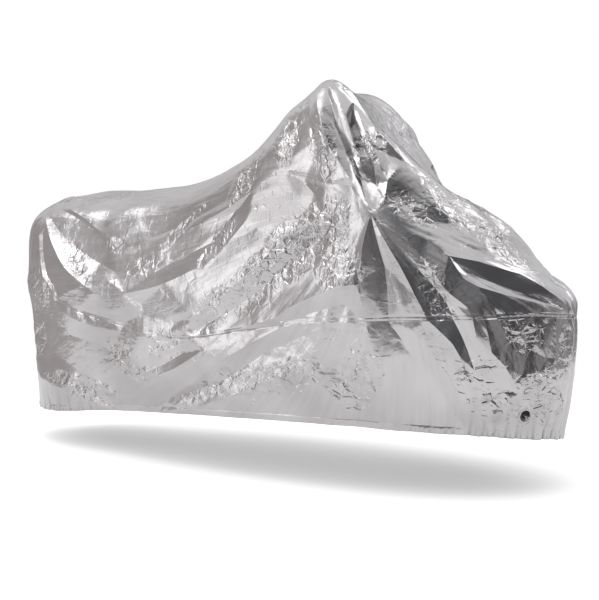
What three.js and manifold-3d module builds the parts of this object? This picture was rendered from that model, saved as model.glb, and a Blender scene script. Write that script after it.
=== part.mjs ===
// Motorcycle cover of thin silver film, in the shape in which it hangs.
// Millimetres. +X is its front, +Y its left, +Z up.
// The origin is on the centre plane, at the underside of the film where the top is bent down most.
// The ground is SUPPORT_HEIGHT below it.

import * as THREE from 'three';
import Module from 'manifold-3d';

const wasm = await Module();
wasm.setup();
const { Manifold, Mesh } = wasm;

// Driving sizes
const SUPPORT_HEIGHT = 1055.5;
const FILM = 2.0;            // film as built, with its backing
const HEM_FILM = 3.0;        // the folded hem
const SEAM_GAP = 0.55;       // between the upper film and the skirt
const EYELET_BORE = 36;
const EYELET_RIM = 46;
const EYELET_BARREL = 38;
const EYELET_CLEAR = 0.45;
const FLANGE = 1.2;
const FLAT_RADIUS = 78;      // film held flat round an eyelet

// Grid: runs of columns from tail to nose on each side, and rows up the cover.
// The columns are closer at the front, where the folds are
// from, to, columns
const RUNS = [
  [0.00, 0.16,  6],
  [0.16, 0.62, 17],
  [0.62, 1.00, 27],
];
const UPPER_ROWS = 14;
const SKIRT_ROWS = 5;

// Levels of a section, as a share of the way up: hem, seam, belly, shoulder, crown
const LEVEL = [0.0, 0.25, 0.50, 0.78, 1.0];
const TAIL_X = [-1005, -1035, -1040, -1010, -935];
const NOSE_X = [1030, 1070, 985, 870, 780];

// Right side: one row for each section, half widths and heights above the ground
// length share, hem w, hem z, seam w, seam z, belly w, belly z, shoulder w, shoulder z
const RIGHT = [
  [0.00,    0,  120,    0,  560,    0,  620,    0,  810],
  [0.03,  138,  115,  155,  545,  150,  620,  125,  825],
  [0.11,  230,  125,  238,  530,  230,  640,  170,  850],
  [0.25,  270,  157,  297,  478,  270,  650,  190,  860],
  [0.42,  320,  182,  345,  440,  310,  710,  215,  900],
  [0.56,  350,  196,  370,  486,  345,  790,  250, 1016],
  [0.68,  355,  204,  380,  524,  365,  850,  290, 1176],
  [0.74,  350,  206,  380,  530,  375,  860,  290, 1240],
  [0.82,  325,  203,  355,  540,  350,  820,  240, 1090],
  [0.90,  275,  198,  305,  548,  265,  750,  175,  940],
  [0.97,  155,  180,  185,  550,  150,  690,  105,  840],
  [1.00,    0,  160,    0,  535,    0,  660,    0,  800],
];

// Left side: the same columns, lower at the peak and the nose
const LEFT = [
  [0.00,    0,  120,    0,  560,    0,  620,    0,  810],
  [0.03,  138,  115,  155,  545,  150,  620,  125,  825],
  [0.11,  230,  125,  238,  530,  230,  640,  170,  850],
  [0.25,  270,  157,  297,  478,  270,  650,  190,  860],
  [0.42,  320,  182,  345,  440,  310,  710,  215,  900],
  [0.56,  350,  196,  370,  486,  345,  790,  280, 1060],
  [0.68,  355,  204,  380,  524,  365,  850,  315, 1235],
  [0.74,  350,  190,  380,  530,  355,  850,  290, 1140],
  [0.82,  325,  155,  355,  540,  300,  780,  190,  930],
  [0.90,  275,  138,  275,  548,  215,  740,  150,  840],
  [0.97,  155,  142,  105,  550,   85,  670,   80,  770],
  [1.00,    0,  160,    0,  535,    0,  660,    0,  800],
];

// Crown height at each section
const CROWN = [885, 905, 920, 935, 975, 1070, 1232, 1228, 1072, 945, 885, 860];

// Main folds of the right side and the top: each is a crease that runs straight from place to place.
// A place is along and up in per cent and its lift in mm above the bare form:
// along 0 tail to 100 nose, up 0 hem, 25 seam, 50 belly, 100 crown
// name, [along, up, lift] for each place
const CREASES = [
  ['tail end', [[0, 0, 0], [0, 25, 3], [0, 50, 0], [0, 75, 2], [0, 100, 0]]],
  ['nose end', [[100, 0, 0], [100, 25, 0], [100, 50, 0], [100, 75, 0], [100, 100, 0]]],
  ['hem', [[0, 0, 0], [12, 0, 2], [22, 0, 0], [33, 0, -4], [41, 0, -2], [50, 0, 0], [62, 0, 0],
    [71, 0, 3], [80, 0, 0], [88, 0, 0], [96, 0, -3], [100, 0, 0]]],
  ['crown', [[0, 100, 0], [12, 100, 2], [25, 100, 0], [40, 100, -2], [50, 100, 0], [58, 100, 2],
    [63, 100, 2], [69, 100, 0], [75, 100, 1], [82, 100, 3], [90, 100, 0], [100, 100, 0]]],
  ['seam', [[0, 25, 3], [13, 26, 6], [23, 25, 3], [29, 26, 2], [36, 25, 4], [40, 25, 8], [44, 25, 6],
    [51, 25, 4], [58, 25, 4], [62, 25, 6], [67, 25, 10], [69.4, 25, 2], [74, 25, 14], [77, 25, -8],
    [79.5, 25, 10], [81, 25, 12], [83, 25, -4], [88, 25, -6], [93, 25, 8], [96, 25, 6], [100, 25, 0]]],
  ['tail edge high', [[12, 89, 3], [19, 82, 1], [26, 75, -3], [31, 68, -3], [35, 59, 4]]],
  ['bright band low', [[17, 78, 3], [20, 71, 12], [24, 60, 20], [27, 51, 24], [31, 41, 28],
    [33, 37, 28]]],
  ['bright band high', [[17, 78, 3], [20, 74, 2], [26, 63, -2], [29, 59, -2], [33, 53, 0], [36, 48, 8]]],
  ['hanging curve', [[33, 37, 28], [38, 38, 24], [44, 41, 20], [51, 45, 16], [55, 53, 10], [57, 57, 5]]],
  ['side edge', [[35, 59, 4], [41, 60, 0], [47, 62, -2], [53, 63, -2], [57, 64, 0], [60, 61, 1]]],
  ['side lip', [[39, 58, 5], [43, 58, 7], [49, 58, 8], [53, 59, 9], [56, 61, 5], [58, 62, 2]]],
  ['tail pleat', [[18.2, 67, 10], [23.2, 26.5, 8]]],
  ['tail corner', [[8, 86, 4], [9, 70, 6], [8, 50, 2], [10, 34, 5]]],
  ['band edge', [[60, 46, 4], [58, 43, 9], [54, 38, 12], [50, 33, 12], [47, 30, 10], [45, 28, 8]]],
  ['second hollow', [[47, 27, 2], [52, 31, -4], [56, 35, -4], [60, 40, -4], [63, 44, -6]]],
  ['second curve', [[54, 26, 8], [57, 27, 16], [59, 29, 22], [62, 31, 28], [65, 33, 32],
    [66.7, 33.5, 30]]],
  ['white edge', [[70, 50.5, 28], [68.6, 46, 20], [67, 40, 15], [65, 33, 24]]],
  ['dark wedge left', [[70, 50.5, 28], [68.2, 41, 28], [67.2, 34, 24], [67, 29, 18], [67, 25, 10]]],
  ['dark wedge right', [[70, 50.5, 28], [70.2, 38, 6], [69.4, 25, 2]]],
  ['front ray', [[70, 50.5, 28], [72, 39, 20], [73, 31, 18], [74, 25, 14]]],
  ['peak ridge', [[64.6, 80, 6], [65, 70, 14], [66, 62, 19], [68, 57, 23], [69, 54, 26],
    [70, 50.5, 28]]],
  ['peak hollow', [[65.4, 79, -4], [66.8, 67, -14], [68.3, 62, -12], [69.1, 58, -6],
    [70, 50.5, 28]]],
  ['slit left', [[68.8, 77, 6], [68, 70, 9], [68.8, 64.5, 6]]],
  ['slit', [[68.8, 77, 6], [69, 70, -26], [69.5, 65, -20]]],
  ['slit right', [[68.8, 77, 6], [70.1, 70, 10], [70.4, 64, 7]]],
  ['peak front ridge', [[69.3, 79, 8], [71, 75, 14], [75, 71, 18], [77, 69, 18], [78, 64, 18],
    [80, 59, 17]]],
  ['bright strip front', [[73, 70, 3], [72.4, 61, 14], [71.8, 56, 16], [70, 50.5, 28]]],
  ['shelf edge', [[70, 50.5, 28], [76, 54, 13], [80, 59, 9], [84, 65, 4]]],
  ['shoulder white front', [[80, 59, 17], [82, 70, 4], [84, 65, 4], [87, 64, 8], [92, 66, 4]]],
  ['shelf front', [[87, 64, 8], [91, 52, 16], [92, 46, 18]]],
  ['nose edge', [[94, 42, 13], [95.5, 29, 15], [98, 25, 4]]],
  ['shelf low left', [[70, 50.5, 28], [73, 48.5, 22], [76, 48, 18], [78, 44, 26]]],
  ['shelf low', [[78, 44, 26], [82, 44.5, 26], [88, 42, 24], [92, 34, 18], [95.5, 29, 15]]],
  ['long hollow', [[78, 44, 26], [80, 40, 6], [84, 37.5, -4], [88, 34, -4], [92, 30.5, 2],
    [95.5, 29, 15]]],
  ['white lens', [[84, 32.5, 10], [88, 26, 14], [95, 27, 12]]],
  ['hood edge', [[78, 44, 26], [77, 38, 18], [76.3, 34.5, 16], [77, 32, 13], [79, 28, 10],
    [79.5, 25, 10]]],
  ['hood hollow', [[70.8, 48.5, 20], [73.5, 40, 2], [75.3, 34, -6], [76.5, 29, -8], [77, 25, -8]]],
  ['soft hollow', [[69.4, 25, 2], [72, 17, -7], [75, 11, -9], [77, 6, -7], [79, 2, -2]]],
  ['soft ridge', [[74, 25, 14], [74.5, 17, 9], [78, 9, 8], [81, 4, 4]]],
  ['pillar back', [[79.5, 25, 10], [80, 20, 13], [80, 13, 7]]],
  ['pillar front', [[81, 25, 12], [81.3, 22, 14], [82, 17, 14], [84, 14, 10]]],
  ['front hollow', [[83, 25, -4], [84.5, 20, -8], [88, 17, -12], [92, 15, -8]]],
  ['front strip', [[93, 25, 8], [93, 15, 9], [94, 11, 9], [96.5, 6, 7]]],
  ['pleat low', [[23, 25, 3], [27, 22.3, 6], [32, 22, 6], [36.5, 23, 5]]],
  ['front skirt fold', [[72, 23, 10], [76, 14, 8], [81, 2, 4]]],
  ['mid skirt fold', [[55, 23, 5], [60, 13, 8], [64, 5, 4]]],
  ['skirt hollow', [[41, 1, -3], [43, 5, -7], [50, 11, -9], [55, 18, -8], [62, 25, 6]]],
  ['rear low fold', [[8, 9, 3], [16, 6, 7], [24, 4.5, 7], [30, 2, 3]]],
  ['rear hollow', [[10, 16, -3], [18, 13, -7], [27, 9, -5], [32, 7, -2]]],
  ['back plane', [[24, 92, 3], [34, 86, -2], [46, 84, 3], [54, 78, -2], [60, 72, 3]]],
  ['peak top', [[62, 92, 3], [65, 88, -5], [67, 86, 0], [69, 92, -2]]],
  ['front slope', [[74, 90, -4], [77, 84, 4], [81, 90, -3], [86, 84, 4], [91, 88, -3], [95, 80, 3]]],
];

// Film from tail to nose and from hem to hem, laid flat: it gives the true slant of a crease
const PATTERN_LONG = 2600;
const PATTERN_HIGH = 1100;

// Eyelets near the front hem, one on each side: name, along, up
const EYELETS = [
  ['right_eyelet', 0.885, 0.042],
  ['left_eyelet', 0.885, 1.958],
];

const ALONG = [
  ...RUNS.flatMap(([from, to, n]) => Array.from({ length: n }, (_, i) => from + ((to - from) * i) / n)),
  1,
];
const COLUMNS = ALONG.length - 1;

// Slopes for a smooth curve through values at uneven places
function slopesThrough(t, p) {
  const n = t.length;
  const step = (i) => (p[i + 1] - p[i]) / (t[i + 1] - t[i]);
  const m = new Array(n).fill(0);
  for (let i = 1; i < n - 1; i += 1) {
    const before = t[i] - t[i - 1];
    const after = t[i + 1] - t[i];
    m[i] = (step(i - 1) * after + step(i) * before) / (before + after);
  }
  m[0] = 1.5 * step(0) - 0.5 * m[1];
  m[n - 1] = 1.5 * step(n - 2) - 0.5 * m[n - 2];
  return m;
}

// A cubic through the values, read at q
function smooth(t, p, m, q) {
  let i = 0;
  while (i < t.length - 2 && q >= t[i + 1]) {
    i += 1;
  }
  const h = t[i + 1] - t[i];
  const f = (q - t[i]) / h;
  const f2 = f * f;
  const f3 = f2 * f;
  return (2 * f3 - 3 * f2 + 1) * p[i] + (f3 - 2 * f2 + f) * h * m[i]
    + (3 * f2 - 2 * f3) * p[i + 1] + (f3 - f2) * h * m[i + 1];
}

const STATION_ANGLE = RIGHT.map((row) => Math.acos(1 - 2 * row[0]) / Math.PI);
const TRACKS = [
  ...RIGHT[0].slice(1).map((_, c) => RIGHT.map((row) => row[c + 1])),
  ...LEFT[0].slice(1).map((_, c) => LEFT.map((row) => row[c + 1])),
  CROWN,
];
const TRACK_SLOPES = TRACKS.map((track) => slopesThrough(STATION_ANGLE, track));
const LEVEL_ROUND = [...LEVEL, ...LEVEL.slice(0, -1).reverse().map((v) => 2 - v)];

// Section at one place along the cover: its x, y and z at the nine levels, with their slopes
function section(along) {
  const share = (1 - Math.cos(Math.PI * along)) / 2;
  const t = TRACKS.map((track, i) => smooth(STATION_ANGLE, track, TRACK_SLOPES[i], along));
  const x = LEVEL.map((_, i) => TAIL_X[i] + (NOSE_X[i] - TAIL_X[i]) * share);
  const xs = [...x, ...x.slice(0, -1).reverse()];
  const ys = [-t[0], -t[2], -t[4], -t[6], 0, t[14], t[12], t[10], t[8]];
  const zs = [t[1], t[3], t[5], t[7], t[16], t[15], t[13], t[11], t[9]];
  return [xs, ys, zs].map((p) => ({ p, m: slopesThrough(LEVEL_ROUND, p) }));
}

// The bare form, with no folds: a point at a place along and up the cover
function formOf(sec, up) {
  const [x, y, z] = sec.map(({ p, m }) => smooth(LEVEL_ROUND, p, m, up));
  return new THREE.Vector3(x, y, z - SUPPORT_HEIGHT);
}

function form(along, up) {
  return formOf(section(along), up);
}

// A place of the right side mirrored over the crown and shifted by slow waves, so that the left side
// hangs in folds of its own. The waves fade out at the ends, at the crown and at the side point
function leftPlace([a, u, lift]) {
  const ends = Math.min(1, a / 12, (100 - a) / 12, (100 - u) / 12);
  const free = ends * Math.min(1, Math.hypot(a - 70, (u - 50.5) / 2) / 15);
  const level = u === 0 || u === 25 ? 0 : 1;
  return [
    a + free * 1.8 * Math.sin(u / 13 + 1),
    200 - u + free * level * 2.2 * Math.sin(a / 9 + 2),
    lift * (1 + 0.3 * free * Math.sin(a / 5 + u / 7)),
  ];
}

// Straight pieces of all creases on the flat film: start, way and the lifts at both ends
const PIECES = [
  ...CREASES.map(([, places]) => places),
  ...CREASES.filter(([name]) => name !== 'crown').map(([, places]) => places.map(leftPlace)),
].flatMap((places) => places.slice(1).map((end, i) => {
  const start = places[i];
  return {
    x: (start[0] / 100) * PATTERN_LONG,
    y: (start[1] / 100) * PATTERN_HIGH,
    dx: ((end[0] - start[0]) / 100) * PATTERN_LONG,
    dy: ((end[1] - start[1]) / 100) * PATTERN_HIGH,
    from: start[2],
    to: end[2],
  };
}));

// Lift of the film at a place: the mean of the nearest lift on each crease, weighted by one over
// the cube of the way to it, so that each crease keeps its own lift
const NEAR = 4;
function lift(along, up) {
  let total = 0;
  let weights = 0;
  for (const { x, y, dx, dy, from, to } of PIECES) {
    const gx = along * PATTERN_LONG - x;
    const gy = up * PATTERN_HIGH - y;
    const f = Math.min(1, Math.max(0, (gx * dx + gy * dy) / (dx * dx + dy * dy)));
    const weight = 1 / (Math.hypot(gx - f * dx, gy - f * dy) + NEAR) ** 3;
    total += weight * (from + f * (to - from));
    weights += weight;
  }
  return total / weights;
}

// Gathers of the elastic hem at the front and the rear, in and out from column to column
function gather(column, up) {
  const along = ALONG[column];
  const low = Math.max(0, 1 - Math.min(up, 2 - up) / 0.09);
  const rear = Math.max(0, 1 - along / 0.34);
  const front = Math.max(0, (along - 0.72) / 0.28);
  const wave = column % 2 === 0 ? 1 : -1;
  return 5 * low * Math.min(1, 2 * rear + 2 * front) * wave;
}

// A place close to a fold moves onto it, so that the fold stays an edge of the film:
// up or down to a flat fold, forth or back to a steep one, by less than reach in each way
function settled(along, up, reachX, reachY) {
  const px = along * PATTERN_LONG;
  const py = up * PATTERN_HIGH;
  let best = 1;
  let place = [along, up];
  for (const { x, y, dx, dy } of PIECES) {
    const flat = Math.abs(dx) / reachX > Math.abs(dy) / reachY;
    const f = flat ? (px - x) / dx : (py - y) / dy;
    const off = flat ? y + f * dy - py : x + f * dx - px;
    const share = Math.abs(off) / (flat ? reachY : reachX);
    if (f >= 0 && f <= 1 && share < best) {
      best = share;
      place = flat ? [along, up + off / PATTERN_HIGH] : [along + off / PATTERN_LONG, up];
    }
  }
  return place;
}

// A ring of the cover at one level: right side from tail to nose, then left side back to the tail
function ring(up, reachUp) {
  const points = [];
  for (let k = 0; k < 2 * COLUMNS; k += 1) {
    const column = k <= COLUMNS ? k : 2 * COLUMNS - k;
    const atEnd = column === 0 || column === COLUMNS;
    let along = ALONG[column];
    let level = k <= COLUMNS ? up : 2 - up;
    if (!atEnd && reachUp > 0) {
      const reachAlong = 0.42 * Math.min(ALONG[column + 1] - along, along - ALONG[column - 1]);
      [along, level] = settled(along, level, reachAlong * PATTERN_LONG, reachUp * PATTERN_HIGH);
    }
    const sec = section(along);
    const here = formOf(sec, level);
    const forth = form(Math.min(1, along + 0.003), level).sub(form(Math.max(0, along - 0.003), level));
    if (atEnd) {
      forth.set(0, column === 0 ? -1 : 1, 0);
    }
    const rise = formOf(sec, Math.min(2, level + 0.01)).sub(formOf(sec, Math.max(0, level - 0.01)));
    const out = forth.cross(rise).normalize();
    if (atEnd) {
      out.y = 0;
      out.normalize();
      out.multiplyScalar(Math.sign(out.x) === (column === 0 ? -1 : 1) ? 1 : -1);
    }
    points.push(here.addScaledVector(out, lift(along, level) + gather(column, level)));
  }
  return points;
}

// Flat seats for the eyelets: centre, outward direction and two directions in the seat
const SEATS = EYELETS.map(([name, along, up]) => {
  const centre = form(along, up);
  const forth = form(along + 0.02, up).sub(form(along - 0.02, up)).normalize();
  const away = up < 1 ? 0.04 : -0.04;
  const rise = form(along, up + away).sub(centre).normalize();
  const out = new THREE.Vector3().crossVectors(forth, rise).normalize();
  if (out.y * (up < 1 ? -1 : 1) < 0) {
    out.negate();
  }
  const side = new THREE.Vector3().crossVectors(rise, out).normalize();
  return { name, centre, out, side, rise: new THREE.Vector3().crossVectors(out, side).normalize() };
});

// The film lies flat against a seat out to FLAT_RADIUS, then runs back to its own shape
function onSeats(point) {
  for (const { centre, out } of SEATS) {
    const distance = point.distanceTo(centre);
    const keep = Math.min(1, Math.max(0, (distance - FLAT_RADIUS) / 60));
    const off = point.clone().sub(centre).dot(out);
    if (distance < FLAT_RADIUS + 60) {
      point.addScaledVector(out, -off * (1 - keep * keep * (3 - 2 * keep)));
    }
  }
  return point;
}

// Rings of film between two levels, on one shared grid so that neighbours meet
const WALL_LEVELS = [
  ...Array.from({ length: SKIRT_ROWS }, (_, i) => LEVEL[1] * (i / SKIRT_ROWS)),
  ...Array.from({ length: UPPER_ROWS + 1 }, (_, i) => LEVEL[1] + (1 - LEVEL[1]) * (i / UPPER_ROWS) ** 1.1),
];
// The hem, the seam and the crown keep their own lines
const WALL = WALL_LEVELS.map((up, row) => {
  const own = row === 0 || row === SKIRT_ROWS || row === WALL_LEVELS.length - 1;
  const gap = own ? 0 : Math.min(WALL_LEVELS[row + 1] - up, up - WALL_LEVELS[row - 1]);
  return ring(up, 0.42 * gap).map(onSeats);
});

// Outward directions of the whole wall, so both pieces thicken the same way
function wallNormals() {
  const around = 2 * COLUMNS;
  const last = WALL.length - 1;
  const normals = WALL.map((row) => row.map(() => new THREE.Vector3()));
  const key = (r, k) => {
    const kk = (k + around) % around;
    return r === last && kk > COLUMNS ? [r, around - kk] : [r, kk];
  };
  for (let r = 0; r < last; r += 1) {
    for (let k = 0; k < around; k += 1) {
      const corner = [key(r, k), key(r, k + 1), key(r + 1, k + 1), key(r + 1, k)];
      for (const [i, j, l] of [[0, 1, 2], [0, 2, 3]]) {
        const a = WALL[corner[i][0]][corner[i][1]];
        const b = WALL[corner[j][0]][corner[j][1]];
        const c = WALL[corner[l][0]][corner[l][1]];
        const n = b.clone().sub(a).cross(c.clone().sub(a));
        for (const at of [corner[i], corner[j], corner[l]]) {
          normals[at[0]][at[1]].add(n);
        }
      }
    }
  }
  for (let k = COLUMNS + 1; k < around; k += 1) {
    normals[last][k].copy(normals[last][around - k]);
  }
  return normals.map((row) => row.map((n) => n.normalize()));
}
const NORMALS = wallNormals();

// A closed sheet from wall row `from` to wall row `to`, thickened inward
function filmSheet(from, to, thickness, trim) {
  const around = 2 * COLUMNS;
  const top = WALL.length - 1;
  const positions = [];
  const index = [];
  const lookup = new Map();
  const vertex = (layer, r, k) => {
    let kk = (k + around) % around;
    if (r === top && kk > COLUMNS) {
      kk = around - kk;
    }
    const id = `${layer},${r},${kk}`;
    if (!lookup.has(id)) {
      const point = WALL[r][kk].clone();
      if (trim && r === from) {
        const run = WALL[r + 1][kk].clone().sub(point).normalize();
        point.addScaledVector(run, trim);
      }
      if (layer === 1) {
        point.addScaledVector(NORMALS[r][kk], -thickness(r));
      }
      lookup.set(id, positions.length / 3);
      positions.push(point.x, point.y, point.z);
    }
    return lookup.get(id);
  };
  const quad = (a, b, c, d) => index.push(a, b, c, a, c, d);
  for (let r = from; r < to; r += 1) {
    for (let k = 0; k < around; k += 1) {
      quad(vertex(0, r, k), vertex(0, r, k + 1), vertex(0, r + 1, k + 1), vertex(0, r + 1, k));
      quad(vertex(1, r, k), vertex(1, r + 1, k), vertex(1, r + 1, k + 1), vertex(1, r, k + 1));
    }
  }
  for (let k = 0; k < around; k += 1) {
    quad(vertex(1, from, k), vertex(1, from, k + 1), vertex(0, from, k + 1), vertex(0, from, k));
    if (to < top) {
      quad(vertex(0, to, k), vertex(0, to, k + 1), vertex(1, to, k + 1), vertex(1, to, k));
    }
  }
  return { positions, index };
}

function geometryOf({ positions, index }) {
  const geometry = new THREE.BufferGeometry();
  geometry.setAttribute('position', new THREE.Float32BufferAttribute(positions, 3));
  geometry.setIndex(Array.from(index));
  geometry.computeVertexNormals();
  return geometry;
}

function solidOf({ positions, index }) {
  return new Manifold(new Mesh({
    numProp: 3,
    vertProperties: new Float32Array(positions),
    triVerts: new Uint32Array(index),
  }));
}

// A ring turned from its profile: radius and height along the seat's outward direction
function turned(profile, segments, seat) {
  const positions = [];
  const index = [];
  for (let s = 0; s < segments; s += 1) {
    const angle = (2 * Math.PI * s) / segments;
    for (const [radius, height] of profile) {
      const p = seat.centre.clone()
        .addScaledVector(seat.side, radius * Math.cos(angle))
        .addScaledVector(seat.rise, radius * Math.sin(angle))
        .addScaledVector(seat.out, height);
      positions.push(p.x, p.y, p.z);
    }
  }
  const n = profile.length;
  for (let s = 0; s < segments; s += 1) {
    const t = (s + 1) % segments;
    for (let i = 0; i < n; i += 1) {
      const j = (i + 1) % n;
      const [a, b, c, d] = [s * n + i, t * n + i, t * n + j, s * n + j];
      index.push(a, b, c, a, c, d);
    }
  }
  return { positions, index };
}

// Two flanges and the barrel between them, through the film's hole
function eyelet(seat) {
  const bore = EYELET_BORE / 2;
  const rim = EYELET_RIM / 2;
  const barrel = EYELET_BARREL / 2;
  const outer = EYELET_CLEAR;
  const inner = -HEM_FILM - EYELET_CLEAR;
  return turned([
    [bore, outer + FLANGE], [rim, outer + FLANGE], [rim, outer], [barrel, outer],
    [barrel, inner], [rim, inner], [rim, inner - FLANGE], [bore, inner - FLANGE],
  ].reverse(), 24, seat);
}

// The hole in the film, a little wider than the barrel
function hole(seat) {
  const radius = EYELET_BARREL / 2 + EYELET_CLEAR;
  const place = new THREE.Matrix4().makeBasis(seat.side, seat.rise, seat.out).setPosition(seat.centre);
  return Manifold.cylinder(24, radius, radius, 24, true).transform(place.toArray());
}

const SILVER = { color: 0xb9bbbe, metalness: 0.85, roughness: 0.35 };
const PALE = { color: 0xe4e5e6, metalness: 0.1, roughness: 0.4 };

function named(name, geometry, look) {
  const mesh = new THREE.Mesh(geometry, new THREE.MeshStandardMaterial(look));
  mesh.name = name;
  return mesh;
}

const cover = new THREE.Group();
cover.name = 'motorcycle_cover';

const upper = filmSheet(SKIRT_ROWS, WALL.length - 1, () => FILM, SEAM_GAP);
cover.add(named('upper_film', geometryOf(upper), SILVER));

const skirtSheet = filmSheet(0, SKIRT_ROWS, (r) => (r === SKIRT_ROWS ? FILM : HEM_FILM), 0);
let skirt = solidOf(skirtSheet);
for (const seat of SEATS) {
  skirt = skirt.subtract(hole(seat));
}
const cut = skirt.getMesh();
const skirtShape = { positions: Array.from(cut.vertProperties), index: cut.triVerts };
cover.add(named('lower_skirt', geometryOf(skirtShape), SILVER));

for (const seat of SEATS) {
  cover.add(named(seat.name, geometryOf(eyelet(seat)), PALE));
}

export default cover;
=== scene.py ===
# %% [markdown]
# # A motorcycle cover of silver film
# The cover is a thin metallised film in two parts: an upper shell and a lower skirt, joined by one
# long seam. It hangs in tight, straight folds, with crushed patches that flash like foil between
# smooth grey faces. A cloth simulation gives soft, rounded folds, so the film is instead worked out
# as one surface of two parameters, with each main fold given as a crease with two flat slopes, and
# with crushed facets laid over it.

# %% Start from the imported model
import math

import bpy
import numpy as np
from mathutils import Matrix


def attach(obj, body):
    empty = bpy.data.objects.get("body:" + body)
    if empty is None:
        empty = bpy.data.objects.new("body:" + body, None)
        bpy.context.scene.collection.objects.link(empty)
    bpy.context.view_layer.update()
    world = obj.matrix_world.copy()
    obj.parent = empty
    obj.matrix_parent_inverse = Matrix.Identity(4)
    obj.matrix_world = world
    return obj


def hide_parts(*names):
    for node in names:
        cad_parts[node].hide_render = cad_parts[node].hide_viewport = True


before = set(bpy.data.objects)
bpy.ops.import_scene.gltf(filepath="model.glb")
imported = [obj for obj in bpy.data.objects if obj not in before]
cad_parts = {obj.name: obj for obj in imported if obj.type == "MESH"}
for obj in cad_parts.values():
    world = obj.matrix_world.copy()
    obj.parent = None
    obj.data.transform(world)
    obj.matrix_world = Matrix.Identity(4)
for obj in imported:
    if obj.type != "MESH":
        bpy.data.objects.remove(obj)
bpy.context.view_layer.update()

# %% [markdown]
# ## The bare form
# A section is a row of five heights on each side: hem, seam, belly, shoulder and crown. Twelve
# sections from the tail to the nose carry their half widths and heights, and a cubic curve runs
# through them both ways. A place on the cover is then two numbers: along, from 0 at the tail to 1
# at the nose, and up, from 0 at the right hem over 1 at the crown to 2 at the left hem.

# %% Sections of the cover, in metres
SUPPORT_HEIGHT = 1.0555          # the origin's height above the floor
LEVEL = np.array([0.0, 0.25, 0.50, 0.78, 1.0])
TAIL_X = np.array([-1.005, -1.035, -1.040, -1.010, -0.935])
NOSE_X = np.array([1.030, 1.070, 0.985, 0.870, 0.780])


def table(text):
    """The rows of numbers in a text, as an array."""
    return np.array([row.split() for row in text.strip().splitlines()], dtype=float)


# length share | half width and height above the floor at hem, seam, belly and shoulder
RIGHT = table("""
0.00 0.000 0.120 0.000 0.560 0.000 0.620 0.000 0.810
0.03 0.138 0.115 0.155 0.545 0.150 0.620 0.125 0.825
0.11 0.230 0.125 0.238 0.530 0.230 0.640 0.170 0.850
0.25 0.270 0.157 0.297 0.478 0.270 0.650 0.190 0.860
0.42 0.320 0.182 0.345 0.440 0.310 0.710 0.215 0.900
0.56 0.350 0.196 0.370 0.486 0.345 0.790 0.250 1.016
0.68 0.355 0.204 0.380 0.524 0.365 0.850 0.290 1.176
0.74 0.350 0.206 0.380 0.530 0.375 0.860 0.290 1.240
0.82 0.325 0.203 0.355 0.540 0.350 0.820 0.240 1.090
0.90 0.275 0.198 0.305 0.548 0.265 0.750 0.175 0.940
0.97 0.155 0.180 0.185 0.550 0.150 0.690 0.105 0.840
1.00 0.000 0.160 0.000 0.535 0.000 0.660 0.000 0.800
""")
# the left side has the right side's numbers but for these: behind the peak its shoulder is higher, and
# in front of it the side is narrower, with a lower shoulder and a lower hem
LEFT = RIGHT.copy()
LEFT[7:11, 2] = 0.190, 0.155, 0.138, 0.142
LEFT[5, 7:9] = 0.280, 1.060
LEFT[6, 7:9] = 0.315, 1.235
LEFT[7, 5:9] = 0.355, 0.850, 0.290, 1.140
LEFT[8, 5:9] = 0.300, 0.780, 0.190, 0.930
LEFT[9, 3:9] = 0.275, 0.548, 0.215, 0.740, 0.150, 0.840
LEFT[10, 3:9] = 0.105, 0.550, 0.085, 0.670, 0.080, 0.770
CROWN = np.array([0.885, 0.905, 0.920, 0.935, 0.975, 1.070, 1.232, 1.228, 1.072, 0.945, 0.885, 0.860])

STATION = np.arccos(1 - 2 * RIGHT[:, 0]) / np.pi
ROUND = np.concatenate([LEVEL, 2 - LEVEL[-2::-1]])
print("sections:", len(RIGHT), "levels round one section:", len(ROUND))


# %% The surface as a function of two parameters
def slopes_through(t, p):
    """Slopes for a smooth curve through values p at places t: at each inner place the mean of the
    two steps beside it, weighted by the other step's length."""
    step = np.diff(p, axis=0) / np.diff(t)[:, None]
    gap = np.diff(t)[:, None]
    m = np.empty_like(p)
    m[1:-1] = (step[:-1] * gap[1:] + step[1:] * gap[:-1]) / (gap[:-1] + gap[1:])
    m[0] = 1.5 * step[0] - 0.5 * m[1]
    m[-1] = 1.5 * step[-1] - 0.5 * m[-2]
    return m


def smooth(t, p, m, q):
    """Cubic Hermite curve with values p and slopes m at places t, read at the places q.
    p and m are (places, columns), or (places, points, columns) with one curve for each point."""
    i = np.clip(np.searchsorted(t, q, side="right") - 1, 0, len(t) - 2)
    h = t[i + 1] - t[i]
    f = (q - t[i]) / h
    f, h = f[:, None], h[:, None]
    if p.ndim == 3:
        k = np.arange(len(q))
        p0, p1, m0, m1 = p[i, k], p[i + 1, k], m[i, k], m[i + 1, k]
    else:
        p0, p1, m0, m1 = p[i], p[i + 1], m[i], m[i + 1]
    a = 2 * f**3 - 3 * f**2 + 1
    b = (f**3 - 2 * f**2 + f) * h
    return a * p0 + b * m0 + (1 - a) * p1 + (f**3 - f**2) * h * m1


TRACKS = np.hstack([RIGHT[:, 1:], LEFT[:, 1:], CROWN[:, None]])
TRACK_SLOPES = slopes_through(STATION, TRACKS)


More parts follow.
